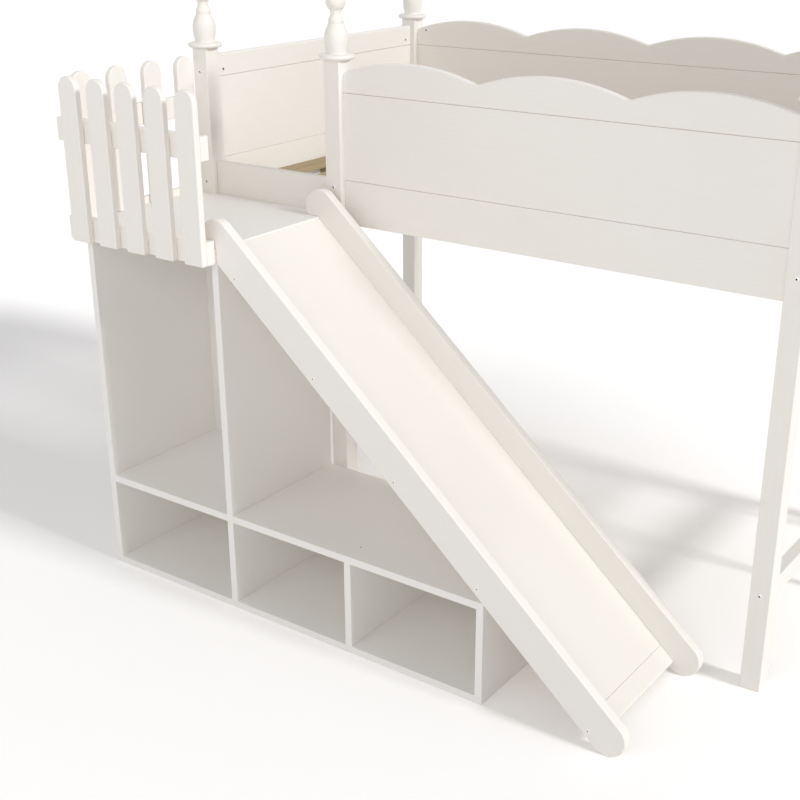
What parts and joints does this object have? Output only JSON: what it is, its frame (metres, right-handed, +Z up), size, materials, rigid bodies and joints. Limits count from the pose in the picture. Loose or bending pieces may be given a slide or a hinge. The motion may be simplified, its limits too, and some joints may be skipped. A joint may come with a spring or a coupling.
{
  "type": "loft bed with wardrobe",
  "caption": "Child's loft bed on square posts with turned tops, scalloped guards, a ladder, and a slide from a fenced platform over an open wardrobe and low cubby shelf.",
  "frame": {"origin": "on the floor, under the middle of the outer box", "axes": "+X along the bed from the wardrobe end to the ladder end, +Y from the slide's side towards the back guard, +Z up"},
  "size_m": [2.0794, 1.7194, 1.7532],
  "materials": {
    "white_paint": "satin warm-white paint on pine and fibreboard",
    "natural_pine": "sanded bare pine",
    "rod_steel": "polished plated tube"
  },
  "bodies": {
    "root": {"post_front_left": "white_paint", "post_front_entry": "white_paint", "post_front_right": "white_paint", "post_back_left": "white_paint", "post_back_right": "white_paint", "post_top_front_left": "white_paint", "post_top_front_entry": "white_paint", "post_top_front_right": "white_paint", "post_top_back_left": "white_paint", "post_top_back_right": "white_paint", "front_guard_low_board": "white_paint", "front_guard_panel": "white_paint", "back_guard_low_board": "white_paint", "back_guard_panel": "white_paint", "left_end_low_board": "white_paint", "left_end_panel": "white_paint", "left_end_stretcher": "white_paint", "right_end_low_board": "white_paint", "right_end_panel": "white_paint", "right_end_stretcher": "white_paint", "entry_board": "white_paint", "ledge_entry": "white_paint", "ledge_front": "white_paint", "ledge_back": "white_paint", "slat_frame": "natural_pine", "wardrobe_left_panel": "white_paint", "wardrobe_divider": "white_paint", "low_shelf": "white_paint", "base_board": "white_paint", "shelf_right_panel": "white_paint", "cubby_divider_left": "white_paint", "cubby_divider_right": "white_paint", "cubby_back": "white_paint", "wardrobe_back": "white_paint", "hanging_rod": "rod_steel", "platform_frame": "white_paint", "platform_deck": "white_paint", "fence_front_low_rail": "white_paint", "fence_side_low_rail": "white_paint", "fence_front_high_rail": "white_paint", "fence_side_high_rail": "white_paint", "fence_front_picket_1": "white_paint", "fence_front_picket_2": "white_paint", "fence_front_picket_3": "white_paint", "fence_front_picket_4": "white_paint", "fence_front_picket_5": "white_paint", "fence_side_picket_1": "white_paint", "fence_side_picket_2": "white_paint", "fence_side_picket_3": "white_paint", "fence_side_picket_4": "white_paint", "slide_near_stringer": "white_paint", "slide_far_stringer": "white_paint", "slide_board": "white_paint", "slide_lip": "white_paint", "ladder_near_rail": "white_paint", "ladder_far_rail": "white_paint", "ladder_tread_1": "white_paint", "ladder_tread_2": "white_paint", "ladder_tread_3": "white_paint"}
  },
  "joints": []
}
